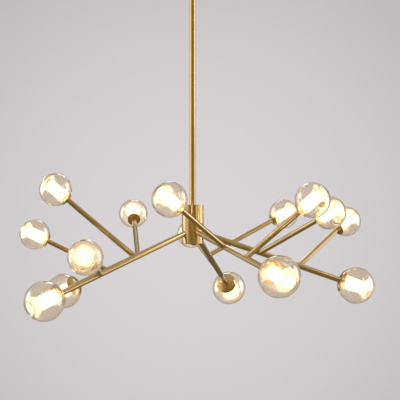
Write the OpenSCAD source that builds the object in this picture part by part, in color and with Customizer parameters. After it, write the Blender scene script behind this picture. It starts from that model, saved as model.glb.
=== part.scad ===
// Branch chandelier: a brass hub on a ceiling rod, five arms that each carry two branches,
// and fifteen double-walled glass globes. The origin is on the ceiling, at the rod's axis.

/* [Ceiling plate] */
// Outer diameter of the spun canopy
canopy_d = 136; // [134:1:160]
// Depth of the canopy below the ceiling
canopy_h = 39; // [37:1:48]
// Distance between the two ceiling slots in the bracket
slot_spacing = 100; // [90:1:104]
// Length of each ceiling slot
slot_len = 12; // [8:1:14]
// Width of each ceiling slot
slot_w = 5; // [4:0.5:6]

/* [Rod] */
// Outer diameter of the rod
rod_d = 20; // [19:0.5:22]
// Rod that shows between the swivel and the hub
rod_len = 763; // [300:1:1500]
// Wall of the rod, the arms and the branches
tube_wall = 1.5; // [1:0.1:1.8]

/* [Hub] */
// Diameter of the hub
hub_d = 70; // [69:1:90]
// Height of the hub
hub_h = 124; // [116:1:160]
// Height above the hub's lower face at which the five arm axes meet
arm_height = 46; // [40:1:48]

/* [Arms] */
// Outer diameter of a main arm
arm_d = 18; // [17:0.5:19]
// Outer diameter of a branch
branch_d = 16; // [14:0.5:16]
// Distance from the hub's axis to the centre of an end globe
arm_reach = 570; // [500:5:700]
// Direction that each arm leaves in, seen from above, from the right and anticlockwise
arm_turn = [9, 76, 147, 215, 296]; // [0:1:360]
// Slope of each arm below the horizontal
arm_slope = [18.5, 20.5, 21, 22.5, 14.5]; // [14:0.5:24]
// Roll of each arm about its own axis, as it is set now
arm_roll = [10, 2, 0, -22, 10]; // [-25:1:25]
// Roll that the stop lets an arm have to each side
roll_limit = 25; // [25:1:40]

/* [Branches] */
// Distance out along the arm at which the inner and the outer branch leave it
branch_at = [232, 367]; // [200:1:400]
// Distance from the arm's axis to the centre of the branch's globe
branch_len = [323, 271]; // [200:1:400]
// Angle between the branch and the outer part of its arm
branch_angle = [69, 60]; // [50:1:90]
// Angle by which the branch rises out of the arm's level plane
branch_rise = [43, 50]; // [30:1:60]

/* [Globes] */
// Outer diameter of a globe on an arm's end
end_globe_d = 120; // [110:1:130]
// Outer diameter of a globe on a branch
branch_globe_d = 102; // [98:1:110]
// Thickness of the glass
glass_t = 2; // [1.6:0.1:2.4]
// Diameter of the cup that holds an end globe
end_cup_d = 72; // [60:1:76]
// Diameter of the cup that holds a branch globe
branch_cup_d = 45; // [42:1:54]
// Diameter of the globe's open mouth, as a share of the globe's diameter
mouth_share = 0.54; // [0.5:0.01:0.56]
// Diameter of the inner glass tube at its waist, as a share of the globe's diameter
waist_share = 0.34; // [0.32:0.01:0.36]

/* [Lamps] */
// Length of a lamp from its socket to its tip
bulb_len = 48; // [40:1:52]
// Diameter of a lamp
bulb_d = 15; // [13:0.5:16]

/* [Hidden] */
$fn = 64;
ARMS = ["right", "back", "left", "front_left", "front_right"];
ARM_NODES = ["arm", "branches", "cups", "lampholders", "leads", "bulbs", "end_globe", "branch_globes"];
CENTRE_NODES = [
    "ceiling_bracket", "bracket_screws", "canopy", "canopy_nuts", "terminal_block", "ceiling_lead",
    "swivel_yoke", "swivel_nut", "swivel_pins",
    "swivel_head", "rod", "rod_nipple", "rod_nut", "rod_lead",
    "hub_body", "hub_cover", "hub_terminal", "hub_leads", "arm_nuts", "stop_pins"
];

brass = [0.76, 0.62, 0.38];
steel = [0.72, 0.73, 0.75];
amber_glass = [0.93, 0.84, 0.68, 0.45];
frosted_glow = [1.0, 0.95, 0.80];
ceramic = [0.93, 0.92, 0.88];
cable_white = [0.85, 0.85, 0.82];
cable_clear = [0.80, 0.74, 0.62];

run_gap = 0.05;          // radial clearance of every turning fit
face_gap = 0.3;          // gap between faces that pass each other

// Ceiling bracket and the fixings on it
strap_t = 2.5;
strap_w = 24;
strap_drop = 16;
strap_half = 38;
tab_half = 62;
terminal_tab = [48, 38];
stud_r = 2;
stud_x = 28;
earth_at = [-20, 24];
block_size = [28, 17, 10];
block_y = 16;
pole_gap = 9;
canopy_wall = 1.2;
canopy_corner = 6;
canopy_hole_r = 7;

// Swivel below the canopy
nipple_r = 6.5;
nipple_bore_r = 5;
yoke_r = 13;
yoke_top = -canopy_h - face_gap;
yoke_body_h = 12.7;
ear_r = 9;
fork_half = 8.6;
head_half = 8.5;
pin_r = 3;
pivot_z = yoke_top - yoke_body_h - ear_r - 1;
head_shoulder = 12;
rod_top = pivot_z - head_shoulder - 4;
lead_r = 2;

// Rod and hub
rod_r = rod_d / 2;
rod_bore_r = rod_r - tube_wall;
rod_seat = 6;
hub_top = rod_top - rod_len;
hub_bottom = hub_top - hub_h;
hub_r = hub_d / 2;
hub_web = 6;
hub_chamfer = 0.8;
upper_r = hub_r - 4;
lower_r = 16;
cover_r = 26;
cover_t = 5;
arms_z = hub_bottom + arm_height;
ledge_z = arms_z + 27;
boss_h = 14;
pole_ring_r = 17;

// The arm's seat in the hub, as distances along the arm from the hub's axis
arm_r = arm_d / 2;
arm_bore_r = arm_r - tube_wall;
spigot_start = 15.5;
nut_start = 17.5;
pocket_floor = 20.5;
arm_start = 26;
plug_end = 40;
core_start = 24;
spigot_r = 6;
spigot_bore_r = 4.5;
pocket_r = 10;
nut_r = 8.2;
stop_pin_r = 0.8;
stop_ring_r = arm_r - 1.3;
stop_depth = 2.6;
arm_lead_r = 2.2;
core_r = 1;
core_ring_r = 1.2;

// Branch tubes
branch_r = branch_d / 2;
branch_bore_r = branch_r - tube_wall;
wire_hole_r = 4;

// Lamp fittings: lamp 0 is the arm's end, lamp 1 the inner branch and lamp 2 the outer one
LAMPS = [0, 1, 2];
cup_t = 1.2;
cup_gap = 0.4;           // gap between the cup's bowl and the globe in it
cup_floor = 1.5;
glass_hole_r = 13.6;
sleeve_r = 13.2;
sleeve_h = 2;
clamp_r = 15.4;
clamp_t = 1.5;
holder_h = 17.5;
holder_r = 9;
contact_x = 4.5;

function globe_r(lamp) = (lamp == 0 ? end_globe_d : branch_globe_d) / 2;
function cup_r(lamp) = (lamp == 0 ? end_cup_d : branch_cup_d) / 2;

// Angle at the globe's centre from its axis to the edge of the hole in its base
function hole_angle(lamp) = asin(glass_hole_r / (globe_r(lamp) - glass_t));
function floor_z(lamp) = -globe_r(lamp) * cos(hole_angle(lamp));
function back_z(lamp) = floor_z(lamp) - cup_floor;

// Turn of a branch about its arm: the inner one rises on the clockwise side, the outer on the other
function branch_side(lamp) = lamp == 1 ? 180 - branch_rise[0] : branch_rise[1];

function unit(v) = v / norm(v);
function bezier(p, n) = [
    for (i = [0 : n])
        let (t = i / n, s = 1 - t)
        s * s * s * p[0] + 3 * s * s * t * p[1] + 3 * s * t * t * p[2] + t * t * t * p[3]
];
function arc(centre, r, from, to, n) = [
    for (i = [0 : n])
        let (a = from + (to - from) * i / n)
        centre + r * [cos(a), sin(a)]
];

// ---------------------------------------------------------------- shared shapes

// A round wire along a list of points, swept as one mesh. The side vector lies square to its bends.
module wire(points, r, side, sides = 8) {
    last = len(points) - 1;
    rings = [
        for (i = [0 : last])
            let (
                along = unit(points[min(i + 1, last)] - points[max(i - 1, 0)]),
                u = unit(cross(along, side)),
                v = cross(along, u)
            )
            for (k = [0 : sides - 1])
                points[i] + r * (u * cos(360 * k / sides) + v * sin(360 * k / sides))
    ];
    walls = [
        for (i = [0 : last - 1])
            for (k = [0 : sides - 1])
                let (a = i * sides + k, b = i * sides + (k + 1) % sides)
                [a, a + sides, b + sides, b]
    ];
    caps = [
        [for (k = [0 : sides - 1]) k],
        [for (k = [sides - 1 : -1 : 0]) last * sides + k]
    ];
    polyhedron(points = rings, faces = concat(walls, caps), convexity = 4);
}

// A straight tube that stands on the XY plane
module tube(outer, inner, h) {
    difference() {
        cylinder(r = outer, h = h);
        translate([0, 0, -1])
            cylinder(r = inner, h = h + 2);
    }
}

// Turns +Z to point along +X
module along_x() {
    rotate([0, 90, 0])
        children();
}

// The frame of one arm before it is rolled: +X runs out along the arm from where the axes meet
module socket_frame(arm) {
    translate([0, 0, arms_z])
        rotate([0, arm_slope[arm], arm_turn[arm]])
            children();
}

module arm_frame(arm) {
    socket_frame(arm)
        rotate([arm_roll[arm], 0, 0])
            children();
}

// The frame of a branch in its arm's frame: +Z runs out along the branch from the arm's axis
module branch_frame(lamp) {
    translate([branch_at[lamp - 1], 0, 0])
        rotate([branch_side(lamp), 0, 0])
            rotate([0, 0, branch_angle[lamp - 1]])
                along_x()
                    children();
}

// The frame of one lamp: its origin is the globe's centre and +Z points out through the mouth
module lamp_frame(lamp) {
    if (lamp == 0)
        along_x()
            translate([0, 0, arm_reach])
                children();
    else
        branch_frame(lamp)
            translate([0, 0, branch_len[lamp - 1]])
                children();
}

// ---------------------------------------------------------------- ceiling fixing

// Steel strap with two slotted tabs on the ceiling, and a side tab that carries the terminal
module ceiling_bracket() {
    low = -strap_drop - strap_t;
    color(steel)
        difference() {
            union() {
                rotate([90, 0, 0])
                    translate([0, 0, -strap_w / 2])
                        linear_extrude(strap_w)
                            polygon([
                                [-tab_half, 0], [-strap_half, 0], [-strap_half, -strap_drop],
                                [strap_half, -strap_drop], [strap_half, 0], [tab_half, 0],
                                [tab_half, -strap_t], [strap_half + strap_t, -strap_t],
                                [strap_half + strap_t, low], [-strap_half - strap_t, low],
                                [-strap_half - strap_t, -strap_t], [-tab_half, -strap_t]
                            ]);
                translate([-terminal_tab[0] / 2, 0, low])
                    cube([terminal_tab[0], terminal_tab[1], strap_t]);
            }
            translate([0, 0, low - 1])
                cylinder(r = nipple_r + run_gap, h = strap_t + 2);
            for (side = [-1, 1]) {
                translate([side * stud_x, 0, low - 1])
                    cylinder(r = stud_r, h = strap_t + 2);
                for (end = [-1, 1])
                    translate([side * slot_spacing / 2 + end * (slot_len - slot_w) / 2, 0, -strap_t - 1])
                        cylinder(r = slot_w / 2, h = strap_t + 2);
                translate([side * slot_spacing / 2 - (slot_len - slot_w) / 2, -slot_w / 2, -strap_t - 1])
                    cube([slot_len - slot_w, slot_w, strap_t + 2]);
            }
            translate([earth_at[0], earth_at[1], low - 1])
                cylinder(r = stud_r, h = strap_t + 2);
        }
}

// Two screws that the canopy hangs from, and the earth screw on the side tab
module bracket_screws() {
    head_r = 3.8;
    head_h = 2.4;
    nut_end = canopy_h + 6;
    color(steel) {
        for (side = [-1, 1])
            translate([side * stud_x, 0, 0])
                slotted_screw(head_r, head_h, -strap_drop, nut_end - strap_drop);
        translate([earth_at[0], earth_at[1], 0])
            slotted_screw(head_r, head_h, -strap_drop, 6);
    }
}

// A pan-head screw whose head stands on the height z and whose shank runs down from it
module slotted_screw(head_r, head_h, z, shank) {
    difference() {
        union() {
            translate([0, 0, z])
                cylinder(r = head_r, h = head_h);
            translate([0, 0, z - shank])
                cylinder(r = stud_r, h = shank + 1);
        }
        translate([-head_r, -0.5, z + head_h - 1.2])
            cube([2 * head_r, 1, 2]);
    }
}

// Outline of a spun cup below z = 0 with a rounded lower corner
module cup_outline(r, h, corner) {
    polygon(concat(
        [[0, 0], [0, -h]],
        arc([r - corner, corner - h], corner, 270, 360, 6),
        [[r, 0]]
    ));
}

// Spun brass canopy, open towards the ceiling
module canopy() {
    color(brass)
        difference() {
            rotate_extrude()
                cup_outline(canopy_d / 2, canopy_h, canopy_corner);
            translate([0, 0, canopy_wall])
                rotate_extrude()
                    cup_outline(canopy_d / 2 - canopy_wall, canopy_h, canopy_corner - canopy_wall);
            translate([0, 0, -canopy_h - 1])
                cylinder(r = canopy_hole_r, h = 4);
            for (side = [-1, 1])
                translate([side * stud_x, 0, -canopy_h - 1])
                    cylinder(r = stud_r + 0.4, h = 4);
        }
}

// Two round cap nuts under the canopy, each with a domed end
module canopy_nuts() {
    nut_h = 8;
    color(brass)
        for (side = [-1, 1])
            translate([side * stud_x, 0, -canopy_h])
                difference() {
                    rotate_extrude()
                        polygon(concat(
                            [[0, 0], [0, -nut_h - 2]],
                            arc([0, -nut_h + 2], 4, 270, 360, 5),
                            [[5, -nut_h + 2], [5, -0.6], [4.4, 0]]
                        ));
                    translate([0, 0, -6])
                        cylinder(r = stud_r, h = 7);
                }
}

// Three-pole terminal block for the supply, screwed to the side tab
module terminal_block() {
    top = block_size[2];
    color(ceramic)
        translate([0, block_y, -strap_drop])
            difference() {
                union() {
                    translate([-block_size[0] / 2, 0, 0])
                        cube(block_size);
                    for (pole = [-1 : 1])
                        translate([pole_gap * pole, block_size[1] / 2, top - 1])
                            cylinder(r = 3.4, h = 3);
                }
                for (pole = [-1 : 1]) {
                    translate([pole_gap * pole, block_size[1] / 2, top - 3])
                        cylinder(r = 2, h = 6);
                    translate([pole_gap * pole, block_size[1] - 5, top / 2])
                        rotate([-90, 0, 0])
                            cylinder(r = 1.6, h = 6);
                }
            }
}

// Supply lead from the terminal block over the nipple's end and down to the swivel's centre
module ceiling_lead() {
    drop_start = -14;
    bend_r = 4.2;
    color(cable_white) {
        wire([
            [0, block_y, -8.2], [0, block_y - 2, -8.2], [0, 11.5, -7.1], [0, 9, -5.7], [0, 6.5, -4.9],
            each [for (p = arc([bend_r, -9], bend_r, 90, 180, 5)) [0, p[0], p[1]]],
            [0, 0, drop_start]
        ], lead_r, [1, 0, 0]);
        difference() {
            translate([0, 0, pivot_z])
                cylinder(r = lead_r, h = drop_start - pivot_z);
            translate([0, 0, pivot_z])
                sphere(r = lead_r + run_gap);
        }
    }
}

// ---------------------------------------------------------------- swivel

// Turned nipple and fork in one piece; the nipple turns in the bracket and the ears hold the pins
module swivel_yoke() {
    nipple_top = -11;
    color(brass)
        difference() {
            union() {
                translate([0, 0, yoke_top - 1])
                    cylinder(r = nipple_r, h = nipple_top - yoke_top + 1);
                translate([0, 0, yoke_top - yoke_body_h])
                    cylinder(r = yoke_r, h = yoke_body_h);
                intersection() {
                    translate([0, 0, pivot_z - ear_r])
                        cylinder(r = yoke_r, h = 2 * ear_r + 3);
                    union() {
                        translate([0, 0, pivot_z])
                            rotate([90, 0, 0])
                                cylinder(r = ear_r, h = 2 * yoke_r, center = true);
                        translate([-ear_r, -yoke_r, pivot_z])
                            cube([2 * ear_r, 2 * yoke_r, ear_r + 2]);
                    }
                }
            }
            translate([-yoke_r, -fork_half, pivot_z - ear_r - 1])
                cube([2 * yoke_r, 2 * fork_half, 2 * ear_r + 2]);
            translate([0, 0, yoke_top - yoke_body_h - 2])
                cylinder(r = nipple_bore_r, h = 60);
            translate([0, 0, pivot_z])
                rotate([90, 0, 0])
                    cylinder(r = pin_r, h = 4 * yoke_r, center = true);
        }
}

// Hexagon nut that holds the swivel on the bracket
module swivel_nut() {
    color(steel)
        translate([0, 0, -strap_drop])
            difference() {
                cylinder(r = 10.4, h = 3.5, $fn = 6);
                translate([0, 0, -1])
                    cylinder(r = nipple_r, h = 6);
            }
}

// Two slotted pins that the swivel head tilts on
module swivel_pins() {
    inner_end = 4.6;
    outer_end = 12.3;
    color(steel)
        for (side = [0, 180])
            translate([0, 0, pivot_z])
                rotate([90, 0, side])
                    difference() {
                        translate([0, 0, inner_end])
                            cylinder(r = pin_r, h = outer_end - inner_end);
                        translate([-pin_r - 1, -0.4, outer_end - 1])
                            cube([2 * pin_r + 2, 0.8, 2]);
                    }
}

// Forked head of the rod; the slot lets the lead stay upright while the head tilts
module swivel_head() {
    slot_half = 4;
    plug_h = 24;
    color(brass)
        difference() {
            union() {
                translate([0, 0, pivot_z])
                    rotate([90, 0, 0])
                        cylinder(r = ear_r, h = 2 * head_half, center = true);
                translate([-ear_r, -head_half, pivot_z - head_shoulder])
                    cube([2 * ear_r, 2 * head_half, head_shoulder]);
                translate([0, 0, rod_top])
                    cylinder(r = rod_r, h = pivot_z - head_shoulder - rod_top);
                translate([0, 0, rod_top - plug_h])
                    cylinder(r = rod_bore_r, h = plug_h + 1);
            }
            translate([-yoke_r, -slot_half, pivot_z - 4])
                cube([2 * yoke_r, 2 * slot_half, 2 * ear_r]);
            translate([0, 0, rod_top - plug_h - 1])
                cylinder(r = 4, h = plug_h + 40);
            translate([0, 0, pivot_z])
                rotate([90, 0, 0])
                    cylinder(r = pin_r + run_gap, h = 2 * yoke_r, center = true);
        }
}

// ---------------------------------------------------------------- rod

// Drawn brass tube between the swivel head and the hub
module rod() {
    color(brass)
        translate([0, 0, hub_top - rod_seat])
            tube(rod_r, rod_bore_r, rod_len + rod_seat);
}

// Threaded end plugged into the rod, which passes the hub's web
module rod_nipple() {
    plug_h = 24;
    end_z = hub_top - rod_seat;
    color(brass)
        difference() {
            union() {
                translate([0, 0, end_z])
                    cylinder(r = rod_bore_r, h = plug_h);
                translate([0, 0, end_z - hub_web - 12])
                    cylinder(r = nipple_r, h = hub_web + 13);
            }
            translate([0, 0, end_z - hub_web - 13])
                cylinder(r = 4, h = plug_h + hub_web + 14);
        }
}

// Hexagon nut that pulls the rod down into its seat in the hub
module rod_nut() {
    color(steel)
        translate([0, 0, hub_top - rod_seat - hub_web - 5])
            difference() {
                cylinder(r = 10.4, h = 5, $fn = 6);
                translate([0, 0, -1])
                    cylinder(r = nipple_r, h = 7);
            }
}

// Supply lead inside the rod; its ball end sits in the hollow end of the ceiling lead
module rod_lead() {
    end_z = ledge_z + boss_h;
    color(cable_white)
        rotate_extrude()
            polygon(concat(
                [[0, end_z], [lead_r, end_z]],
                arc([0, pivot_z], lead_r, 0, 90, 6)
            ));
}

// ---------------------------------------------------------------- hub

// The three steps of each arm's seat: the outer bore, the spigot hole and the nut's pocket
module arm_seat() {
    along_x() {
        translate([0, 0, arm_start])
            cylinder(r = arm_r + run_gap, h = hub_r);
        translate([0, 0, pocket_floor - 1])
            cylinder(r = spigot_r + run_gap, h = arm_start - pocket_floor + 2);
        translate([0, 0, 8])
            cylinder(r = pocket_r, h = pocket_floor - 8);
    }
}

// Turned brass hub: a thick lower wall that the arms seat in, and a wiring chamber above it
module hub_body() {
    c = hub_chamfer;
    web_z = hub_top - rod_seat - hub_web;
    color(brass)
        difference() {
            rotate_extrude()
                polygon([
                    [0, hub_top], [hub_r - c, hub_top], [hub_r, hub_top - c], [hub_r, hub_bottom + c],
                    [hub_r - c, hub_bottom], [cover_r, hub_bottom], [cover_r, hub_bottom + cover_t],
                    [lower_r, hub_bottom + cover_t], [lower_r, ledge_z], [upper_r, ledge_z],
                    [upper_r, web_z], [0, web_z]
                ]);
            translate([0, 0, hub_top - rod_seat])
                cylinder(r = rod_r + run_gap, h = rod_seat + 1);
            translate([0, 0, web_z - 1])
                cylinder(r = nipple_r + 0.2, h = hub_web + 2);
            for (arm = [0 : len(ARMS) - 1])
                socket_frame(arm) {
                    arm_seat();
                    translate([0, 0, -stop_ring_r])
                        along_x()
                            translate([0, 0, arm_start - 3.5])
                                cylinder(r = stop_pin_r, h = 4);
                }
        }
}

// Screwed cover under the hub, with two spanner holes
module hub_cover() {
    spanner_x = 18;
    color(brass)
        translate([0, 0, hub_bottom])
            difference() {
                cylinder(r = cover_r, h = cover_t);
                for (side = [-1, 1])
                    translate([side * spanner_x, 0, -1])
                        cylinder(r = 1.6, h = 4);
            }
}

// Moulded terminal disc on the hub's ledge, one raised pole for each arm and a boss for the supply
module hub_terminal() {
    disc_t = 4;
    color(ceramic)
        translate([0, 0, ledge_z])
            difference() {
                union() {
                    cylinder(r = upper_r - 1, h = disc_t);
                    cylinder(r = 6, h = boss_h);
                    for (turn = arm_turn)
                        rotate([0, 0, turn])
                            translate([pole_ring_r, 0, 0])
                                cylinder(r = 5, h = boss_h - 2);
                }
                for (turn = arm_turn)
                    rotate([0, 0, turn])
                        translate([pole_ring_r, 0, boss_h - 6])
                            cylinder(r = 2.4, h = 6);
            }
}

// Five leads that leave the terminal disc downwards and turn into the arms along their axes
module hub_leads() {
    start = [7.5, ledge_z - arms_z];
    color(cable_clear)
        for (arm = [0 : len(ARMS) - 1]) {
            out = [cos(arm_slope[arm]), -sin(arm_slope[arm])];
            bend = bezier([start - [0, 1], start - [1.5, 20], 5 * out, 13 * out], 8);
            path = concat([start], bend, [core_start * out]);
            translate([0, 0, arms_z])
                rotate([0, 0, arm_turn[arm]])
                    wire([for (p = path) [p[0], 0, p[1]]], arm_lead_r, [0, 1, 0]);
        }
}

// Slotted round nuts that clamp each arm's spigot once the arm is rolled to its place
module arm_nuts() {
    color(steel)
        for (arm = [0 : len(ARMS) - 1])
            socket_frame(arm)
                along_x()
                    translate([0, 0, nut_start])
                        difference() {
                            cylinder(r = nut_r, h = pocket_floor - nut_start);
                            translate([0, 0, -1])
                                cylinder(r = spigot_r + run_gap, h = 5);
                            for (slot = [0 : 3])
                                rotate([0, 0, 90 * slot])
                                    translate([nut_r - 1.2, -1.2, -1])
                                        cube([3, 2.4, 2.4]);
                        }
}

// Pins pressed into the hub's seats; each rides in the notch in its arm's end and stops the roll
module stop_pins() {
    color(steel)
        for (arm = [0 : len(ARMS) - 1])
            socket_frame(arm)
                translate([0, 0, -stop_ring_r])
                    along_x()
                        translate([0, 0, arm_start - 3.5])
                            cylinder(r = stop_pin_r, h = 3.5 + stop_depth - 0.4);
}

// ---------------------------------------------------------------- arms and branches

// Notch in the arm's inner end, as wide as the roll that its stop pin allows
module stop_notch() {
    half = roll_limit + asin((stop_pin_r + 0.1) / stop_ring_r) + 0.5;
    rotate([180, 0, 0])
        along_x()
            translate([0, 0, arm_start])
                rotate([0, 0, 180 - half])
                    rotate_extrude(angle = 2 * half)
                        translate([spigot_r + 0.4, -1])
                            square([arm_r, stop_depth + 1]);
}

// Main tube of an arm with the turned spigot brazed into its inner end
module arm_tube() {
    length = arm_reach + back_z(0) - arm_start;
    color(brass)
        difference() {
            along_x()
                difference() {
                    union() {
                        translate([0, 0, arm_start])
                            cylinder(r = arm_r, h = length);
                        translate([0, 0, spigot_start])
                            cylinder(r = spigot_r, h = arm_start - spigot_start + 1);
                    }
                    translate([0, 0, plug_end])
                        cylinder(r = arm_bore_r, h = length);
                    translate([0, 0, spigot_start - 1])
                        cylinder(r = spigot_bore_r, h = plug_end);
                }
            stop_notch();
            for (lamp = [1, 2])
                branch_frame(lamp)
                    cylinder(r = wire_hole_r, h = arm_d);
        }
}

// Branch tubes, each cut to a saddle where it is brazed onto the arm
module branch_tubes() {
    color(brass)
        difference() {
            for (lamp = [1, 2])
                branch_frame(lamp)
                    tube(branch_r, branch_bore_r, branch_len[lamp - 1] + back_z(lamp));
            along_x()
                cylinder(r = arm_r, h = arm_reach);
        }
}

// Three cores that start side by side in the spigot and end at the three lampholders
module lamp_leads() {
    color(cable_clear) {
        along_x()
            translate([core_ring_r, 0, core_start])
                cylinder(r = core_r, h = arm_reach + floor_z(0) - core_start);
        for (lamp = [1, 2]) {
            a = branch_angle[lamp - 1];
            side = branch_side(lamp);
            at = [branch_at[lamp - 1], 0, 0];
            out = [cos(a), sin(a) * cos(side), sin(a) * sin(side)];
            turn = lamp == 1 ? -60 : 60;
            offset = core_ring_r * [0, sin(turn), cos(turn)];
            entry = at + offset;
            bend = bezier([entry - [16, 0, 0], entry - [4, 0, 0], at + 4 * out, at + 16 * out], 6);
            wire(concat(
                [[core_start, 0, 0] + offset],
                bend,
                [at + (branch_len[lamp - 1] + floor_z(lamp)) * out]
            ), core_r, cross([1, 0, 0], out));
        }
    }
}

// ---------------------------------------------------------------- lamp fittings

// Spun cup: a bowl that follows the globe, with a flat that the tube butts on and a short sleeve inside
module cup(lamp) {
    outer = globe_r(lamp) + cup_gap + cup_t;
    back = back_z(lamp);
    lip_z = -sqrt(outer * outer - cup_r(lamp) * cup_r(lamp));
    color(brass)
        difference() {
            union() {
                difference() {
                    intersection() {
                        sphere(r = outer);
                        translate([0, 0, back])
                            cylinder(r = outer, h = lip_z - back);
                    }
                    intersection() {
                        sphere(r = outer - cup_t);
                        translate([0, 0, floor_z(lamp)])
                            cylinder(r = outer, h = outer);
                    }
                }
                translate([0, 0, back])
                    cylinder(r = sleeve_r, h = cup_floor + sleeve_h);
            }
            translate([0, 0, floor_z(lamp)])
                cylinder(r = sleeve_r - 1.5, h = sleeve_h + 1);
            translate([0, 0, back - 1])
                cylinder(r = wire_hole_r, h = cup_floor + 2);
        }
}

// Ceramic two-pin lampholder seated in the sleeve; its flange clamps the globe's base from inside
module lampholder(lamp) {
    glass_in = globe_r(lamp) - glass_t;
    clamp_z = -sqrt(glass_in * glass_in - clamp_r * clamp_r) - floor_z(lamp) + 0.1;
    color(ceramic)
        translate([0, 0, floor_z(lamp)])
            difference() {
                union() {
                    cylinder(r = sleeve_r - 1.6, h = clamp_z + 0.5);
                    translate([0, 0, clamp_z])
                        cylinder(r = clamp_r, h = clamp_t);
                    cylinder(r = holder_r, h = holder_h);
                }
                for (side = [-1, 1])
                    translate([side * contact_x, 0, holder_h - 8])
                        cylinder(r = 0.9, h = 9);
            }
}

// Capsule lamp: a plug with two pins and a domed envelope
module bulb(lamp) {
    seat = floor_z(lamp) + holder_h;
    r = bulb_d / 2;
    color(frosted_glow) {
        rotate_extrude()
            polygon(concat(
                [[0, seat], [6.5, seat], [6.5, seat + 8], [r, seat + 9.5]],
                arc([0, seat + bulb_len - r], r, 0, 90, 6)
            ));
        for (side = [-1, 1])
            translate([side * contact_x, 0, seat - 6])
                cylinder(r = 0.7, h = 6);
    }
}

// Mid-line of the globe's glass in half section: sphere, rolled lip, funnel and inner tube
function globe_line(lamp) =
    let (
        r = globe_r(lamp) - glass_t / 2,
        d = 2 * globe_r(lamp),
        mouth_r = d * mouth_share / 2,
        mouth_angle = asin(mouth_r / r),
        lip_r = 0.04 * d,
        lip_centre = [mouth_r, sqrt(r * r - mouth_r * mouth_r)] * (r - lip_r) / r,
        lip_start = 90 - mouth_angle,
        lip_end = 150,
        funnel_start = lip_centre + lip_r * [cos(lip_end), sin(lip_end)],
        funnel_run = [cos(lip_end + 90), sin(lip_end + 90)],
        waist = [d * waist_share / 2, 0.04 * d],
        tube_end = [d * waist_share / 2 + 0.6, floor_z(lamp) + 9]
    )
    concat(
        arc([0, 0], r, hole_angle(lamp) - 90, 90 - mouth_angle, 20),
        [for (i = [1 : 5]) lip_centre + lip_r * [cos(lip_start + (lip_end - lip_start) * i / 5),
                                                 sin(lip_start + (lip_end - lip_start) * i / 5)]],
        [for (i = [1 : 7]) bezier([
            funnel_start, funnel_start + 0.13 * d * funnel_run, waist + [0, 0.16 * d], waist
        ], 7)[i]],
        [tube_end]
    );

// Offset of point i of a line by the distance t to its left, with mitred corners
function beside(line, i, t) =
    let (
        last = len(line) - 1,
        before = unit(line[max(i, 1)] - line[max(i, 1) - 1]),
        after = unit(line[min(i, last - 1) + 1] - line[min(i, last - 1)]),
        n1 = [-before[1], before[0]],
        n2 = [-after[1], after[0]]
    )
    line[i] + t * (n1 + n2) / (1 + n1 * n2);

// Blown globe: the wall folds in at the mouth and runs back down the middle as a frosted tube
module globe(lamp) {
    line = globe_line(lamp);
    last = len(line) - 1;
    color(amber_glass)
        rotate_extrude($fn = 96)
            polygon(concat(
                [for (i = [0 : last]) beside(line, i, glass_t / 2)],
                [for (i = [last : -1 : 0]) beside(line, i, -glass_t / 2)]
            ));
}

// ---------------------------------------------------------------- drawing

module centre_part(name) {
    if (name == "ceiling_bracket") ceiling_bracket();
    if (name == "bracket_screws") bracket_screws();
    if (name == "canopy") canopy();
    if (name == "canopy_nuts") canopy_nuts();
    if (name == "terminal_block") terminal_block();
    if (name == "ceiling_lead") ceiling_lead();
    if (name == "swivel_yoke") swivel_yoke();
    if (name == "swivel_nut") swivel_nut();
    if (name == "swivel_pins") swivel_pins();
    if (name == "swivel_head") swivel_head();
    if (name == "rod") rod();
    if (name == "rod_nipple") rod_nipple();
    if (name == "rod_nut") rod_nut();
    if (name == "rod_lead") rod_lead();
    if (name == "hub_body") hub_body();
    if (name == "hub_cover") hub_cover();
    if (name == "hub_terminal") hub_terminal();
    if (name == "hub_leads") hub_leads();
    if (name == "arm_nuts") arm_nuts();
    if (name == "stop_pins") stop_pins();
}

module arm_part(arm, part) {
    arm_frame(arm) {
        if (part == "arm") arm_tube();
        if (part == "branches") branch_tubes();
        if (part == "leads") lamp_leads();
        if (part == "cups") for (lamp = LAMPS) lamp_frame(lamp) cup(lamp);
        if (part == "lampholders") for (lamp = LAMPS) lamp_frame(lamp) lampholder(lamp);
        if (part == "bulbs") for (lamp = LAMPS) lamp_frame(lamp) bulb(lamp);
        if (part == "end_globe") lamp_frame(0) globe(0);
        if (part == "branch_globes") for (lamp = [1, 2]) lamp_frame(lamp) globe(lamp);
    }
}

for (name = CENTRE_NODES)
    centre_part(name);
for (arm = [0 : len(ARMS) - 1])
    for (part = ARM_NODES)
        arm_part(arm, part);
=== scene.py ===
import math

import bmesh
import bpy
from mathutils import Matrix, Vector
from mathutils.geometry import interpolate_bezier


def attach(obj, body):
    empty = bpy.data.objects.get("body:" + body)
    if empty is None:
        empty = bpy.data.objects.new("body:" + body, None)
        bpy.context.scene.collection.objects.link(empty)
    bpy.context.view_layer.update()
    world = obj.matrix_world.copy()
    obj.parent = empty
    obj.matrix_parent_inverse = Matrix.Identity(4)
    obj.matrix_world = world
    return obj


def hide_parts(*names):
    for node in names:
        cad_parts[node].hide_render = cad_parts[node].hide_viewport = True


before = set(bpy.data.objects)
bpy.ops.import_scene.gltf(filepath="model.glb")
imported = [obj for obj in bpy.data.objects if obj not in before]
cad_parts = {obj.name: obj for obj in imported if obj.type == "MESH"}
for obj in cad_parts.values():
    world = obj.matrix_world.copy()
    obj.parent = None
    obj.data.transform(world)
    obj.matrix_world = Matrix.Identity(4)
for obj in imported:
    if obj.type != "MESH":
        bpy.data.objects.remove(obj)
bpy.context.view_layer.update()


# ---------------------------------------------------------------- camera
# A long lens a little below where the arms cross, looking up by three degrees. Its place was fitted
# to the fifteen globes of the photograph.

LOOKS_UP = 0.0525

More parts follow.
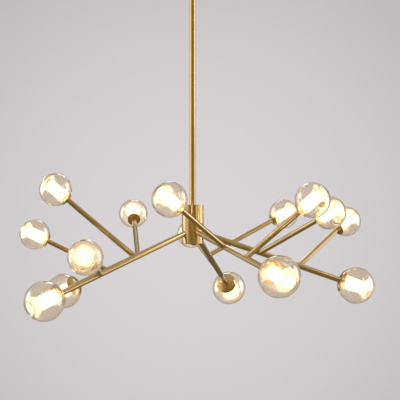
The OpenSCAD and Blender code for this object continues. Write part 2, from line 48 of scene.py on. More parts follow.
camera_data = bpy.data.cameras.new("view")
camera_data.sensor_width = 36
camera_data.lens = 100.91
camera = bpy.data.objects.new("view", camera_data)
camera.location = (0.02341, -3.58826, -1.01295)
camera.rotation_euler = (math.pi / 2 + LOOKS_UP, 0, 0)
bpy.context.scene.collection.objects.link(camera)
bpy.context.scene.camera = camera
bpy.context.scene.view_settings.view_transform = "Standard"


# ---------------------------------------------------------------- backdrop, floor and lights
# A pale seamless backdrop, softly brighter in the middle, and a pale floor three metres below the
# ceiling. A high window light stands behind and a narrow one at the side, and two wide fills that the
# metal doesn't mirror hang above and in front.


def fill(tree, node, inputs):
    """Set or link a node's sockets, each given by its name or number."""
    for name, value in inputs.items():
        if isinstance(value, bpy.types.NodeSocket):
            tree.links.new(value, node.inputs[name])
        else:
            node.inputs[name].default_value = value


def add(tree, kind, inputs=None, **settings):
    made = tree.nodes.new(kind)
    for name, value in settings.items():
        setattr(made, name, value)
    fill(tree, made, inputs or {})
    return made


def maths(tree, operation, a, b=0.0, c=0.0, clamp=False):
    made = add(tree, "ShaderNodeMath", {0: a, 1: b, 2: c}, operation=operation, use_clamp=clamp)
    return made.outputs[0]


def vectors(tree, operation, a, b=(0, 0, 0), output=0):
    return add(tree, "ShaderNodeVectorMath", {0: a, 1: b}, operation=operation).outputs[output]


def ramp(tree, value, low, high, to_low=0.0, to_high=1.0, smooth=True):
    made = add(tree, "ShaderNodeMapRange", {
        "Value": value, "From Min": low, "From Max": high, "To Min": to_low, "To Max": to_high})
    made.interpolation_type = "SMOOTHSTEP" if smooth else "LINEAR"
    return made.outputs["Result"]


def noise(tree, place, scale, detail):
    return add(tree, "ShaderNodeTexNoise", {"Vector": place, "Scale": scale, "Detail": detail}).outputs[0]


def spread(tree, value, low, high):
    """The usual range of a noise, 0.3 to 0.7, spread over another one."""
    return ramp(tree, value, 0.3, 0.7, low, high)


def grey(tree, value):
    return add(tree, "ShaderNodeCombineColor", {"Red": value, "Green": value, "Blue": value}).outputs[0]


def blend_colours(tree, factor, a, b, mode="MIX"):
    made = add(tree, "ShaderNodeMix", data_type="RGBA", blend_type=mode)
    fill(tree, made, {0: factor, 6: a, 7: b})
    return made.outputs[2]


world = bpy.data.worlds.new("studio")
bpy.context.scene.world = world
world.use_nodes = True
tree = world.node_tree
tree.nodes.clear()
direction = add(tree, "ShaderNodeTexCoord").outputs["Generated"]
path = add(tree, "ShaderNodeLightPath").outputs
seen = maths(tree, "MAXIMUM", path["Is Camera Ray"], path["Is Transmission Ray"])

# The backdrop that the camera sees, also through glass
BACKDROP = (0.694, 0.664, 0.672, 1)
BRIGHTEST = Vector((-0.008, 0.9995, 0.026)).normalized()
middle = vectors(tree, "DOT_PRODUCT", direction, BRIGHTEST, output="Value")
glow = ramp(tree, middle, 0.967, 1.0, 0.76, 1.0, smooth=False)
backdrop = blend_colours(tree, 1.0, BACKDROP, grey(tree, glow), "MULTIPLY")

# The room that the metal mirrors: dim behind, warm on the camera's side and below, paler above, and a
# bright wall on each side. Each side's colour starts and is full at these parts of a unit direction
BEHIND = (0.17, 0.15, 0.105, 1)
IN_FRONT = (0.24, 0.175, 0.05, 1)
ROOM_SIDES = [
    ("Z", 0.25, 0.85, (0.42, 0.39, 0.30, 1)),
    ("Z", -0.2, -0.7, (0.18, 0.155, 0.07, 1)),
    ("X", 0.60, 0.98, (0.88, 0.80, 0.62, 1)),
    ("X", -0.55, -0.94, (0.76, 0.71, 0.56, 1)),
]
parts = add(tree, "ShaderNodeSeparateXYZ", {0: direction}).outputs
room = blend_colours(tree, ramp(tree, parts["Y"], 0.5, -0.5), BEHIND, IN_FRONT)
for way, starts, full, colour in ROOM_SIDES:
    room = blend_colours(tree, ramp(tree, parts[way], starts, full), room, colour)

# Glass, the only thing that mirrors sharply, shows the pale backdrop behind
BACKDROP_IN_GLASS = (0.60, 0.53, 0.42, 1)
behind = maths(tree, "MULTIPLY", ramp(tree, parts["Y"], 0.0, 0.7), path["Is Singular Ray"])
room = blend_colours(tree, behind, room, BACKDROP_IN_GLASS)

# A tall window to the left and one to the right, this far round from the camera's side in radians. The
# metal shows each as a narrow strip, the glass wider and brighter
WINDOW_TURN = 1.80
STRIP_LIGHT = (1.65, 1.60, 1.52, 1)
PANE_LIGHT = (4.4, 4.3, 4.15, 1)
turned = maths(tree, "ARCTAN2", parts["X"], maths(tree, "MULTIPLY", parts["Y"], -1.0))
from_window = maths(tree, "SUBTRACT", maths(tree, "ABSOLUTE", turned), WINDOW_TURN)
from_window = maths(tree, "ABSOLUTE", from_window)
upright = maths(tree, "MULTIPLY", ramp(tree, parts["Z"], -0.34, -0.18), ramp(tree, parts["Z"], 0.62, 0.42))
strip = maths(tree, "MULTIPLY", ramp(tree, from_window, 0.22, 0.12), upright)
room = blend_colours(tree, strip, room, STRIP_LIGHT)
pane = maths(tree, "MULTIPLY", ramp(tree, from_window, 0.42, 0.18), upright)
pane = maths(tree, "MULTIPLY", pane, path["Is Singular Ray"])
room = blend_colours(tree, pane, room, PANE_LIGHT)

# What is matt gets an even grey light
MATT_LIGHT = (0.34, 0.335, 0.33, 1)
room = blend_colours(tree, path["Is Diffuse Ray"], room, MATT_LIGHT)

shown = add(tree, "ShaderNodeBackground", {"Color": backdrop, "Strength": 1.0})
lighting = add(tree, "ShaderNodeBackground", {"Color": room, "Strength": 1.0})
mixed = add(tree, "ShaderNodeMixShader", {0: seen, 1: lighting.outputs[0], 2: shown.outputs[0]})
add(tree, "ShaderNodeOutputWorld", {"Surface": mixed.outputs[0]})

FLOOR_Z = -3.0
FLOOR_R = 4.4
FLOOR_PAINT = (0.66, 0.645, 0.64, 1)
FLOOR_IN_METAL = (0.22, 0.19, 0.095, 1)
floor_mesh = bpy.data.meshes.new("floor")
disc = bmesh.new()
bmesh.ops.create_circle(disc, cap_ends=True, segments=96, radius=FLOOR_R)
disc.to_mesh(floor_mesh)
disc.free()
floor = bpy.data.objects.new("floor", floor_mesh)
floor.location = (0, 0, FLOOR_Z)
bpy.context.scene.collection.objects.link(floor)

# The floor fades into the backdrop towards its rim. Metal mirrors it darker and warmer, because the
# photograph's tubes are dark underneath
floor_paint = bpy.data.materials.new("floor_paint")
floor_paint.use_nodes = True
tree = floor_paint.node_tree
tree.nodes.clear()
place = add(tree, "ShaderNodeTexCoord").outputs["Object"]
away = vectors(tree, "LENGTH", place, output="Value")
tone = spread(tree, noise(tree, place, 40.0, 3.0), 0.98, 1.0)
pale = blend_colours(tree, 1.0, FLOOR_PAINT, grey(tree, tone), "MULTIPLY")
path = add(tree, "ShaderNodeLightPath").outputs
in_metal = maths(tree, "SUBTRACT", path["Is Glossy Ray"], path["Is Singular Ray"], clamp=True)
pale = blend_colours(tree, in_metal, pale, FLOOR_IN_METAL)
matt = add(tree, "ShaderNodeBsdfDiffuse", {"Color": pale})
nothing = add(tree, "ShaderNodeBsdfTransparent")
mixed = add(tree, "ShaderNodeMixShader", {
    0: ramp(tree, away, 2.2, 4.3), 1: matt.outputs[0], 2: nothing.outputs[0]})
add(tree, "ShaderNodeOutputMaterial", {"Surface": mixed.outputs[0]})
floor_mesh.materials.append(floor_paint)

# Name, place, size across and upright, power, colour, and whether metal and glass mirror it. Each one
# faces the arms' crossing.
ARMS_Z = -0.919
SOFTBOXES = [
    ("window", (-0.13, 1.90, 0.60), (0.70, 0.30), 2.6, (1.0, 0.99, 0.97), True),
    ("side_window", (1.9, -1.1, 0.1), (0.35, 0.9), 2.4, (1.0, 0.98, 0.95), True),
    ("overhead_fill", (0.3, -0.8, 1.6), (2.6, 2.2), 60, (1.0, 0.99, 0.97), False),
    ("front_fill", (0.0, -3.4, -0.2), (2.6, 2.0), 50, (1.0, 0.99, 0.98), False),
]
for name, place, size, power, colour, mirrored in SOFTBOXES:
    light = bpy.data.lights.new(name, "AREA")
    light.shape = "RECTANGLE"
    light.size, light.size_y = size
    light.energy = power
    light.color = colour
    softbox = bpy.data.objects.new(name, light)
    softbox.location = place
    aim = Vector((0, 0, ARMS_Z)) - Vector(place)
    softbox.rotation_euler = aim.to_track_quat("-Z", "Y").to_euler()
    softbox.visible_camera = False
    softbox.visible_glossy = mirrored
    softbox.visible_transmission = mirrored
    bpy.context.scene.collection.objects.link(softbox)


# ---------------------------------------------------------------- ceiling bracket and its fixings
# A folded steel strap with two slotted tabs for the ceiling, its screws and the swivel's nut, all
# zinc plated. They are hidden in the canopy and seen from above.


def new_material(name):
    made = bpy.data.materials.new(name)
    made.use_nodes = True
    return made, made.node_tree, made.node_tree.nodes["Principled BSDF"]


def object_place(tree):
    return add(tree, "ShaderNodeTexCoord").outputs["Object"]


def bump(tree, height, strength, distance):
    """Relief in the surface, with its full depth in metres."""
    return add(tree, "ShaderNodeBump", {
        "Height": height, "Strength": strength, "Distance": distance}).outputs[0]


def dress(node, material):
    shown_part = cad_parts[node]
    if not shown_part.material_slots:
        shown_part.data.materials.append(material)
    for slot in shown_part.material_slots:
        slot.material = material


zinc, tree, shader = new_material("zinc_plate")
place = object_place(tree)
spangle = add(tree, "ShaderNodeTexVoronoi", {"Vector": place, "Scale": 420.0}).outputs["Color"]
cloud = noise(tree, place, 90.0, 4.0)
shade = blend_colours(tree, cloud, (0.52, 0.53, 0.55, 1), (0.70, 0.71, 0.73, 1))
fill(tree, shader, {
    "Base Color": blend_colours(tree, 0.08, shade, spangle, "OVERLAY"),
    "Roughness": spread(tree, cloud, 0.28, 0.46),
    "Metallic": 1.0,
    "Normal": bump(tree, cloud, 0.25, 0.0002)})
for name in ("ceiling_bracket", "bracket_screws", "swivel_nut", "swivel_pins", "rod_nut"):
    dress(name, zinc)


# ---------------------------------------------------------------- supply terminal
# A three-pole block of unglazed steatite on the bracket's side tab, and the disc in the hub, of the
# same. Each pole of the block has a slotted brass grub screw, turned and milled.

steatite, tree, shader = new_material("steatite")
place = object_place(tree)
cloud = noise(tree, place, 160.0, 6.0)
speck = noise(tree, place, 1900.0, 2.0)
fill(tree, shader, {
    "Base Color": blend_colours(tree, cloud, (0.84, 0.82, 0.77, 1), (0.92, 0.91, 0.88, 1)),
    "Roughness": spread(tree, speck, 0.55, 0.72),
    "Normal": bump(tree, speck, 0.2, 0.0001)})
for name in ("terminal_block", "hub_terminal"):
    dress(name, steatite)

screw_brass, tree, shader = new_material("screw_brass")
cloud = noise(tree, object_place(tree), 700.0, 3.0)
fill(tree, shader, {
    "Base Color": blend_colours(tree, cloud, (0.72, 0.52, 0.26, 1), (0.84, 0.66, 0.38, 1)),
    "Roughness": spread(tree, cloud, 0.22, 0.34),
    "Metallic": 1.0})


def new_piece(shape, name, materials):
    """A finished shape as an object of its own."""
    bmesh.ops.recalc_face_normals(shape, faces=shape.faces)
    mesh = bpy.data.meshes.new(name)
    shape.to_mesh(mesh)
    shape.free()
    for material in materials:
        mesh.materials.append(material)
    made = bpy.data.objects.new(name, mesh)
    bpy.context.scene.collection.objects.link(made)
    return made


POLE_X = [-0.009, 0.0, 0.009]
POLE_Y = 0.0245
SCREW_R = 0.0019
SCREW_LOW = -0.0085
SCREW_TOP = -0.0050
SCREW_BEVEL = 0.0002
SCREW_FACE = 0.88
SLOT_HALF = 0.0003
SLOT_FLOOR = SCREW_TOP - 0.0009
HALF_STEPS = 16
ROUND_STEPS = 32
for pole, pole_x in enumerate(POLE_X):
    shape = bmesh.new()
    # The two halves of the head, on each side of the slot
    first = math.asin(SLOT_HALF / SCREW_R)
    for side in (-1, 1):
        rim = []
        for i in range(HALF_STEPS + 1):
            a = first + (math.pi - 2 * first) * i / HALF_STEPS
            rim.append(Vector((SCREW_R * math.cos(a), side * SCREW_R * math.sin(a), 0)))
        inset = [p * SCREW_FACE for p in rim]
        levels = [(rim, SLOT_FLOOR), (rim, SCREW_TOP - SCREW_BEVEL), (inset, SCREW_TOP)]
        rings = [[shape.verts.new((pole_x + p.x, POLE_Y + p.y, z)) for p in ring] for ring, z in levels]
        for low_ring, high_ring in zip(rings, rings[1:]):
            for i in range(HALF_STEPS + 1):
                shape.faces.new((low_ring[i - 1], low_ring[i], high_ring[i], high_ring[i - 1]))
        shape.faces.new(rings[-1])
        shape.faces.new(rings[0][::-1])
    # The shank below the slot
    around = [2 * math.pi * i / ROUND_STEPS for i in range(ROUND_STEPS)]
    rings = []
    for z in (SCREW_LOW, SLOT_FLOOR):
        rings.append([shape.verts.new((pole_x + SCREW_R * math.cos(a), POLE_Y + SCREW_R * math.sin(a), z))
                      for a in around])
    for i in range(ROUND_STEPS):
        shape.faces.new((rings[0][i - 1], rings[0][i], rings[1][i], rings[1][i - 1]))
    shape.faces.new(rings[0][::-1])
    shape.faces.new(rings[1])
    screw = new_piece(shape, f"terminal_screw_{pole}", [screw_brass])
    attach(screw, "ceiling")


# ---------------------------------------------------------------- canopy, swivel and rod
# Spun and turned brass with a satin lacquer. Fine lines from the lathe run round the turned pieces,
# and finer ones from the die run along the drawn tubes.

LATHE_LINES = 1500.0
DIE_LINES = (900, 900, 9)


def line_frame(tree, place, axes):
    """Coordinates about the nearest of some axes, with Z along it, and the distance from it."""
    nearest = None
    for axis in axes:
        turned_back = axis.inverted()
        local = add(tree, "ShaderNodeMapping", {
            "Vector": place,
            "Location": turned_back.to_translation(),
            "Rotation": turned_back.to_euler()}).outputs[0]
        away = vectors(tree, "LENGTH", vectors(tree, "MULTIPLY", local, (1, 1, 0)), output="Value")
        if nearest is None:
            nearest = (local, away)
            continue
        closer = maths(tree, "LESS_THAN", away, nearest[1])
        chosen = add(tree, "ShaderNodeMix", data_type="VECTOR")
        fill(tree, chosen, {0: closer, 4: nearest[0], 5: local})
        nearest = (chosen.outputs[1], maths(tree, "MINIMUM", away, nearest[1]))
    return nearest


def satin_brass(name, axes, turned):
    """Lacquered brass. Its lines go round the axes where it is turned, along them where it is drawn."""
    made, tree, shader = new_material(name)
    place = object_place(tree)
    local, away = line_frame(tree, place, axes)
    if turned:
        along = add(tree, "ShaderNodeSeparateXYZ", {0: local}).outputs["Z"]
        lay = add(tree, "ShaderNodeCombineXYZ", {
            "X": maths(tree, "MULTIPLY", away, LATHE_LINES),
            "Y": maths(tree, "MULTIPLY", along, LATHE_LINES)}).outputs[0]
    else:
        lay = vectors(tree, "MULTIPLY", local, DIE_LINES)
    lines = noise(tree, lay, 1.0, 3.0)
    cloud = noise(tree, place, 26.0, 5.0)
    hazy = noise(tree, place, 140.0, 4.0)
    metal = blend_colours(tree, ramp(tree, cloud, 0.35, 0.75),
                          (0.82, 0.585, 0.30, 1), (0.78, 0.535, 0.25, 1))
    metal = blend_colours(tree, ramp(tree, hazy, 0.52, 0.80, 0.0, 0.35), metal, (0.70, 0.46, 0.20, 1))
    metal = blend_colours(tree, spread(tree, lines, 0.0, 0.14), metal, (0.86, 0.66, 0.38, 1))
    fill(tree, shader, {
        "Base Color": metal,
        "Roughness": maths(tree, "ADD", spread(tree, lines, 0.12, 0.18), spread(tree, hazy, 0.0, 0.05)),
        "Metallic": 1.0,
        "Normal": bump(tree, lines, 0.10, 0.00003),
        "Coat Weight": 1.0,
        "Coat IOR": 1.8,
        "Coat Roughness": 0.12})
    return made


plumb = [Matrix.Identity(4)]
turned_brass = satin_brass("turned_brass", plumb, True)
drawn_brass = satin_brass("drawn_brass", plumb, False)
for name in ("canopy", "canopy_nuts", "swivel_yoke", "swivel_head", "rod_nipple"):
    dress(name, turned_brass)
dress("rod", drawn_brass)


# ---------------------------------------------------------------- leads
# A white sheathed lead down the rod and clear insulated cores of tinned copper from the hub to
# every lampholder, hidden in the tubes apart from what shows in the canopy.

sheath, tree, shader = new_material("white_sheath")
cloud = noise(tree, object_place(tree), 300.0, 3.0)
fill(tree, shader, {
    "Base Color": blend_colours(tree, cloud, (0.78, 0.78, 0.75, 1), (0.88, 0.88, 0.86, 1)),
    "Roughness": spread(tree, cloud, 0.40, 0.52)})
for name in ("ceiling_lead", "rod_lead"):
    dress(name, sheath)

core, tree, shader = new_material("clear_core")
strands = add(tree, "ShaderNodeTexWave", {
    "Vector": object_place(tree), "Scale": 420.0, "Distortion": 1.5},
    bands_direction="DIAGONAL").outputs["Fac"]
fill(tree, shader, {
    "Base Color": blend_colours(tree, strands, (0.62, 0.56, 0.46, 1), (0.82, 0.77, 0.68, 1)),
    "Roughness": ramp(tree, strands, 0.0, 1.0, 0.22, 0.34),
    "Coat Weight": 0.6,
    "Coat Roughness": 0.08})


# ---------------------------------------------------------------- hub
# A turned brass cylinder that the rod and the five arms seat in, with a screwed cover below and a
# terminal disc inside.

for name in ("hub_body", "hub_cover"):
    dress(name, turned_brass)
dress("hub_leads", core)
for name in ("arm_nuts", "stop_pins"):
    dress(name, zinc)


# ---------------------------------------------------------------- arms and branches
# Drawn brass tubes. Each arm is turned to its own roll and clamped in the hub, and two branches are
# brazed onto it at compound angles.

ARMS = ["right", "back", "left", "front_left", "front_right"]
ARM_TURN = [9, 76, 147, 215, 296]
ARM_SLOPE = [18.5, 20.5, 21, 22.5, 14.5]
ARM_ROLL = [10, 2, 0, -22, 10]
ARM_REACH = 0.570
ARM_R = 0.009
BRANCH_R = 0.008
BRANCH_AT = [0.232, 0.367]
BRANCH_LEN = [0.323, 0.271]
BRANCH_ANGLE = [69, 60]
BRANCH_SIDE = [137, 50]


def turn(degrees, axis):
    return Matrix.Rotation(math.radians(degrees), 4, axis)


def arm_frame(arm):
    """X runs out along the arm from where the arms' axes meet."""
    return (Matrix.Translation((0, 0, ARMS_Z)) @ turn(ARM_TURN[arm], "Z") @ turn(ARM_SLOPE[arm], "Y")
            @ turn(ARM_ROLL[arm], "X"))


def branch_frame(arm, branch):
    """Z runs out along the branch from the arm's axis."""
    return (arm_frame(arm) @ Matrix.Translation((BRANCH_AT[branch], 0, 0)) @ turn(BRANCH_SIDE[branch], "X")
            @ turn(BRANCH_ANGLE[branch], "Z") @ turn(90, "Y"))


def lamp_frame(arm, lamp):
    """The globe's centre, with Z out of its mouth. Lamp 0 is the arm's end, 1 and 2 the branches'."""
    if lamp == 0:
        return arm_frame(arm) @ turn(90, "Y") @ Matrix.Translation((0, 0, ARM_REACH))
    return branch_frame(arm, lamp - 1) @ Matrix.Translation((0, 0, BRANCH_LEN[lamp - 1]))


for arm, side in enumerate(ARMS):
    dress(f"{side}_arm", satin_brass(f"{side}_arm_brass", [arm_frame(arm) @ turn(90, "Y")], False))
    dress(f"{side}_branches", satin_brass(
        f"{side}_branch_brass", [branch_frame(arm, 0), branch_frame(arm, 1)], False))


# ---------------------------------------------------------------- braze at the branches' feet
# A thin concave ring of braze that ran round each saddle joint and was dressed smooth before the
# lacquer. It is brass like the tubes, a little redder.

braze, tree, shader = new_material("braze")
cloud = noise(tree, object_place(tree), 260.0, 4.0)
fill(tree, shader, {
    "Base Color": blend_colours(tree, cloud, (0.72, 0.47, 0.22, 1), (0.80, 0.58, 0.31, 1)),
    "Roughness": spread(tree, cloud, 0.20, 0.32),
    "Metallic": 1.0,
    "Normal": bump(tree, cloud, 0.2, 0.0001)})

BRAZE_SIZE = 0.0016
BRAZE_DEPTH = 0.0004
BRAZE_STEPS = 48
FILLET = (0, 0.2, 0.4, 0.6, 0.8, 1)


def braze_ring(shape, arm, branch):
    """A fillet round the line where the branch's surface meets the arm's, made in the arm's frame."""
    to_arm = arm_frame(arm).inverted() @ branch_frame(arm, branch)
    foot = to_arm.translation
    axis = to_arm.to_3x3() @ Vector((0, 0, 1))
    rings = []
    for i in range(BRAZE_STEPS):
        a = 2 * math.pi * i / BRAZE_STEPS
        out = to_arm.to_3x3() @ Vector((math.cos(a), math.sin(a), 0))
        q = BRANCH_R * out
        # Where a line up the branch's side comes out of the arm
        square = axis.y ** 2 + axis.z ** 2
        half_b = axis.y * q.y + axis.z * q.z
        rest = q.y ** 2 + q.z ** 2 - ARM_R ** 2
        corner = foot + q + axis * (-half_b + math.sqrt(half_b ** 2 - square * rest)) / square
        up = corner + BRAZE_SIZE * axis
        low = corner + BRAZE_SIZE * out
        on_arm = low.yz.normalized() * ARM_R
        low = Vector((low.x, on_arm.x, on_arm.y))
        inside = corner - BRAZE_DEPTH * (out + Vector((0, corner.y, corner.z)).normalized())
        curve = [((1 - t) ** 2) * up + 2 * t * (1 - t) * corner + t * t * low for t in FILLET]
        rings.append([shape.verts.new(arm_frame(arm) @ p) for p in curve + [inside]])
    count = len(FILLET) + 1
    for here, there in zip(rings, rings[1:] + rings[:1]):
        for k in range(count):
            face = shape.faces.new((here[k], there[k], there[(k + 1) % count], here[(k + 1) % count]))
            face.smooth = k < len(FILLET) - 1


for arm, side in enumerate(ARMS):
    shape = bmesh.new()
    for branch in (0, 1):
        braze_ring(shape, arm, branch)
    ring = new_piece(shape, f"{side}_braze", [braze])
    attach(ring, f"{side}_arm_set")


# ---------------------------------------------------------------- cups
# Spun brass bowls that hug the globes' bases, with lathe lines round each one's axis. Each is brazed
# to its tube's end and has a short sleeve inside that centres the globe.

for arm, side in enumerate(ARMS):
    dress(f"{side}_cups", satin_brass(
        f"{side}_cup_brass", [lamp_frame(arm, lamp) for lamp in range(3)], True))


# ---------------------------------------------------------------- lampholders and their cores
# Two-pin lampholders of steatite that stand in the cups' sleeves. The flange of each clamps its globe
# from inside, and a core from the hub feeds it.

for side in ARMS:
    dress(f"{side}_lampholders", steatite)
    dress(f"{side}_leads", core)


# ---------------------------------------------------------------- lamps
# Frosted two-pin capsule lamps, lit, that push into the lampholders. The inner tubes of the globes round
# them glow with painted emission of their own, which stands in for the lamps' light.

lamp_glow, tree, shader = new_material("lit_capsule")
cloud = noise(tree, object_place(tree), 120.0, 2.0)
fill(tree, shader, {
    "Base Color": blend_colours(tree, cloud, (1.0, 0.93, 0.80, 1), (1.0, 0.96, 0.88, 1)),
    "Emission Color": blend_colours(tree, cloud, (1.0, 0.91, 0.68, 1), (1.0, 0.94, 0.76, 1)),
    "Emission Strength": 14.0,
    "Roughness": 0.4})
for side in ARMS:
    dress(f"{side}_bulbs", lamp_glow)


# ---------------------------------------------------------------- globes
# Each globe is blown in one piece of thin champagne glass: it folds in at the mouth and runs back
# down the middle as a frosted waisted tube round the lamp. The lampholder's flange clamps it on its cup.

GLOBE_R = [0.060, 0.051, 0.051]
GLASS_T = 0.002
HOLE_R = 0.0136
TUBE_END_GAP = 0.009
TUBE_FLARE = 0.0006

# Shares of the globe's diameter: the mouth's width, the lip's radius, the waist's width and height,
# how far the lobe runs on from the lip and down to the waist, and the height where it bends over
MOUTH_SHARE = 0.44
LIP_SHARE = 0.03
WAIST_SHARE = 0.34
WAIST_HEIGHT = 0.12
LOBE_RUN = 0.23
WAIST_RUN = 0.15
LOBE_BEND = 0.305

SPHERE_STEPS = 44
LIP_STEPS = 14
LOBE_POINTS = 29
TUBE_STEPS = 8
TURN_STEPS = 96


def circle_points(centre, radius, start, end, count):
    """Points on an arc in half section, without the first one."""
    points = []
    for i in range(1, count + 1):
        a = start + (end - start) * i / count
        points.append(Vector((centre[0] + radius * math.cos(a), centre[1] + radius * math.sin(a))))
    return points


def globe_line(lamp):
    """Mid-line of the glass as (distance from the axis, height), and the point where the lobe begins."""
    size = 2 * GLOBE_R[lamp]
    r = GLOBE_R[lamp] - GLASS_T / 2
    hole = math.asin(HOLE_R / (GLOBE_R[lamp] - GLASS_T))
    lip_start = math.acos(size * MOUTH_SHARE / 2 / r)
    lip_r = LIP_SHARE * size
    outward = Vector((math.cos(lip_start), math.sin(lip_start)))
    line = [Vector((r * math.sin(hole), -r * math.cos(hole)))]
    line += circle_points((0, 0), r, hole - math.pi / 2, lip_start, SPHERE_STEPS)
    line += circle_points((r - lip_r) * outward, lip_r, lip_start, lip_start + math.pi, LIP_STEPS)
    lobe_starts = len(line) - 1
    lobe_start = (r - 2 * lip_r) * outward
    lobe_way = Vector((outward.y, -outward.x))
    waist = Vector((size * WAIST_SHARE / 2, WAIST_HEIGHT * size))
    lobe = interpolate_bezier(
        lobe_start.to_3d(), (lobe_start + LOBE_RUN * size * lobe_way).to_3d(),
        (waist + Vector((0, WAIST_RUN * size))).to_3d(), waist.to_3d(), LOBE_POINTS)
    line += [p.to_2d() for p in lobe[1:]]
    tube_end = Vector((waist.x + TUBE_FLARE, TUBE_END_GAP - GLOBE_R[lamp] * math.cos(hole)))
    line += [waist.lerp(tube_end, i / TUBE_STEPS) for i in range(1, TUBE_STEPS + 1)]
    return line, lobe_starts


def thickened(line, half):
    """The line's two sides at a distance, left and right, with its corners mitred."""
    left = []
    right = []
    last = len(line) - 1
    for i, point in enumerate(line):
        before = (line[max(i, 1)] - line[max(i, 1) - 1]).normalized()
        after = (line[min(i, last - 1) + 1] - line[min(i, last - 1)]).normalized()
        n1 = Vector((-before.y, before.x))
        n2 = Vector((-after.y, after.x))
        step = (n1 + n2) / (1 + n1.dot(n2)) * half
        left.append(point + step)
        right.append(point - step)
    return left, right


def lathe(outline, frosted_edges, placed):
    """A closed outline in half section, turned about Z and put in place. Frosted edges use slot 1."""
    shape = bmesh.new()
    own_place = shape.verts.layers.float_vector.new("lamp_place")
    rings = []
    for i in range(TURN_STEPS):
        a = 2 * math.pi * i / TURN_STEPS
        ring = []
        for p in outline:
            local = Vector((p.x * math.cos(a), p.x * math.sin(a), p.y))
            ring.append(shape.verts.new(placed @ local))
            ring[-1][own_place] = local
        rings.append(ring)
    count = len(outline)
    for here, there in zip(rings, rings[1:] + rings[:1]):
        for k in range(count):
            face = shape.faces.new((here[k], there[k], there[(k + 1) % count], here[(k + 1) % count]))
            face.smooth = True
            face.material_index = 1 if k in frosted_edges else 0
    return shape


def lamp_place(tree):
    """Coordinates about the globe's own centre, with Z out of its mouth."""
    return add(tree, "ShaderNodeAttribute", attribute_name="lamp_place").outputs["Vector"]


def glass_coating(tree, shader):
    """The lustre on the glass: a thin film of metal oxide that mirrors more than bare glass."""
    fill(tree, shader, {"IOR": 1.45, "Coat Weight": 0.6, "Coat IOR": 1.9, "Coat Roughness": 0.0})


# The clear outside, with faint swirls from the gathering and a deeper tint towards the mouth
clear_glass, tree, shader = new_material("champagne_glass")
place = lamp_place(tree)
waves = noise(tree, place, 22.0, 1.0)
cords = add(tree, "ShaderNodeTexWave", {
    "Vector": place, "Scale": 26.0, "Distortion": 9.0, "Detail": 1.0, "Detail Scale": 1.2},
    bands_direction="Z").outputs["Fac"]
waves = maths(tree, "MULTIPLY_ADD", cords, 0.22, waves)
tint = blend_colours(tree, ramp(tree, noise(tree, place, 14.0, 2.0), 0.35, 0.65),
                     (0.992, 0.937, 0.860, 1), (0.968, 0.880, 0.755, 1))
tint = blend_colours(tree, ramp(tree, cords, 0.55, 0.95, 0.0, 0.5), tint, (0.935, 0.825, 0.680, 1))
towards_mouth = maths(tree, "DIVIDE", add(tree, "ShaderNodeSeparateXYZ", {0: place}).outputs["Z"],
                      vectors(tree, "LENGTH", place, output="Value"))
fill(tree, shader, {
    "Base Color": blend_colours(tree, ramp(tree, towards_mouth, 0.80, 0.90), tint, (0.90, 0.76, 0.52, 1)),
    "Normal": bump(tree, waves, 0.5, 0.0012),
    "Transmission Weight": 1.0,
    "Roughness": 0.0})
glass_coating(tree, shader)


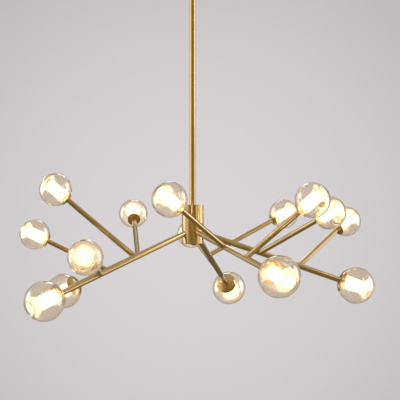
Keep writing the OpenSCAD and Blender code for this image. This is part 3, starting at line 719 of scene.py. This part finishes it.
def frosted_glass(name, lamp):
    """Sandblasted glass with a painted glow, emission that stands in for the lamp's light inside. The
    frost and the painted glow fade out towards the clear lip, and the painted glow dims towards the base.
    A streaky dark amber band of painted shade runs where the lobe bends over, and a painted reflection of
    the brass cup turns the tube amber towards the base."""
    made, tree, shader = new_material(name)
    place = lamp_place(tree)
    height = add(tree, "ShaderNodeSeparateXYZ", {0: place}).outputs["Z"]
    size = 2 * GLOBE_R[lamp]

    def up_the_tube(starts, full, at_start=0.0, at_full=1.0):
        """Between two heights, given as shares of the globe's diameter from its centre."""
        return ramp(tree, height, starts * size, full * size, at_start, at_full)

    frost = up_the_tube(0.42, 0.34)
    # Painted glow: strongest and whitest round the lamp, standing in for its light through the frost
    painted_glow_core = up_the_tube(0.38, 0.14)
    # Painted shade: the painted glow dims towards the base, next to the cup
    base = up_the_tube(-0.46, -0.24, 0.15, 1.0)
    # Painted reflection: the brass cup's warm colour painted on the tube's foot
    painted_cup_reflection = up_the_tube(-0.20, -0.40)
    # Painted shade: a streaky dark amber band where the lobe bends over, where the painted glow is dimmed
    # too
    from_bend = maths(tree, "ABSOLUTE", maths(tree, "SUBTRACT", height, LOBE_BEND * size))
    streak = ramp(tree, noise(tree, place, 34.0, 2.0), 0.42, 0.60, 0.10, 0.85)
    painted_bend_shade = maths(tree, "MULTIPLY", ramp(tree, from_bend, 0.040 * size, 0.010 * size), streak)

    # The painted glow: emission that stands in for the lamp's light through the glass, cut back at the
    # bend
    glow = maths(tree, "MULTIPLY_ADD", painted_glow_core, 0.30, maths(tree, "MULTIPLY_ADD", frost, 0.38, 0.05))
    glow = maths(tree, "MULTIPLY", glow, maths(tree, "SUBTRACT", 1.0, painted_bend_shade))
    body = blend_colours(tree, frost, (0.95, 0.87, 0.77, 1), (0.98, 0.94, 0.82, 1))
    body = blend_colours(tree, painted_cup_reflection, body, (0.82, 0.65, 0.30, 1))
    grain = noise(tree, place, 900.0, 3.0)
    fill(tree, shader, {
        "Base Color": blend_colours(tree, painted_bend_shade, body, (0.86, 0.60, 0.30, 1)),
        "Emission Color": blend_colours(tree, painted_glow_core, (1.0, 0.93, 0.79, 1), (1.0, 0.92, 0.68, 1)),
        "Emission Strength": maths(tree, "MULTIPLY", glow, base),
        "Roughness": maths(tree, "MULTIPLY", frost, spread(tree, grain, 0.42, 0.56)),
        "Transmission Weight": maths(tree, "SUBTRACT", 1.0, maths(tree, "MULTIPLY", frost, 0.35)),
        "Normal": bump(tree, grain, maths(tree, "MULTIPLY", frost, 0.3), 0.0001)})
    glass_coating(tree, shader)
    return made


frosted = [frosted_glass("frosted_end_glass", 0), frosted_glass("frosted_branch_glass", 1)]
LAMP_NAMES = ["end", "inner", "outer"]
for arm, side in enumerate(ARMS):
    for lamp, place_name in enumerate(LAMP_NAMES):
        line, lobe_starts = globe_line(lamp)
        left, right = thickened(line, GLASS_T / 2)
        points = len(line)
        inner = set(range(lobe_starts, points)) | set(range(points, 2 * points - 1 - lobe_starts))
        shape = lathe(left + right[::-1], inner, lamp_frame(arm, lamp))
        globe = new_piece(shape, f"{side}_{place_name}_globe_glass", [clear_glass, frosted[min(lamp, 1)]])
        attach(globe, f"{side}_arm_set")
        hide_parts(f"{side}_end_globe" if lamp == 0 else f"{side}_branch_globes")
